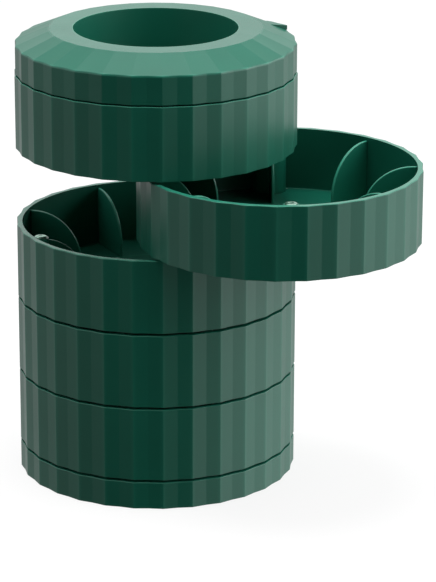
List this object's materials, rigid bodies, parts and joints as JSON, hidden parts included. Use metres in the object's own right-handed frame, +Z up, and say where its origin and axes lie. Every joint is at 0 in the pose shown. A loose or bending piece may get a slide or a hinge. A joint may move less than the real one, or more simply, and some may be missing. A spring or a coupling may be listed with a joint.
{
  "type": "coffee capsule dispenser",
  "caption": "Stack of fluted round trays with fins for coffee capsules, under a lid with a round well; every tray swings out on a rod near the rim.",
  "frame": {"origin": "centre of the underside of the anti-slip pad, on the axis of the closed stack", "axes": "+Z up; +X from the stack's axis to the rod that the trays swing on"},
  "size_m": [0.2011, 0.2243, 0.2565],
  "materials": {
    "fluted_green_plastic": "satin",
    "cover_green_plastic": "matt",
    "button_nickel": "satin",
    "rod_steel": "brushed",
    "washer_nylon": "matt",
    "pad_rubber": "matt"
  },
  "bodies": {
    "base": {"base_shell": "fluted_green_plastic", "base_cover": "cover_green_plastic", "anti_slip_pad": "pad_rubber", "cover_screw_1": "rod_steel", "cover_screw_2": "rod_steel", "cover_screw_3": "rod_steel", "pivot_rod": "rod_steel", "rod_screw": "rod_steel", "spacer_washer_1": "washer_nylon", "spacer_washer_2": "washer_nylon", "spacer_washer_3": "washer_nylon", "spacer_washer_4": "washer_nylon", "spacer_washer_5": "washer_nylon", "retaining_clip": "rod_steel", "base_button": "button_nickel"},
    "tray_1": {"tray_1": "fluted_green_plastic", "glide_button_1": "button_nickel"},
    "tray_2": {"tray_2": "fluted_green_plastic", "glide_button_2": "button_nickel"},
    "tray_3": {"tray_3": "fluted_green_plastic", "glide_button_3": "button_nickel"},
    "tray_4": {"tray_4": "fluted_green_plastic", "glide_button_4": "button_nickel"},
    "tray_5": {"tray_5": "fluted_green_plastic", "glide_button_5": "button_nickel"},
    "lid": {"lid": "fluted_green_plastic"}
  },
  "joints": [
    {"name": "tray_1_swing", "type": "hinge", "parent": "base", "child": "tray_1", "pos_m": [0.0726, 0, 0.01725], "axis": [0, 0, 1], "continuous": true},
    {"name": "tray_2_swing", "type": "hinge", "parent": "base", "child": "tray_2", "pos_m": [0.0726, 0, 0.0604], "axis": [0, 0, 1], "continuous": true},
    {"name": "tray_3_swing", "type": "hinge", "parent": "base", "child": "tray_3", "pos_m": [0.0726, 0, 0.10355], "axis": [0, 0, 1], "continuous": true},
    {"name": "tray_4_swing", "type": "hinge", "parent": "base", "child": "tray_4", "pos_m": [0.0726, 0, 0.1467], "axis": [0, 0, 1], "continuous": true},
    {"name": "tray_5_swing", "type": "hinge", "parent": "base", "child": "tray_5", "pos_m": [0.0726, 0, 0.18985], "axis": [0, 0, 1], "continuous": true},
    {"name": "lid_swing", "type": "hinge", "parent": "base", "child": "lid", "pos_m": [0.0726, 0, 0.2323], "axis": [0, 0, 1], "continuous": true}
  ]
}
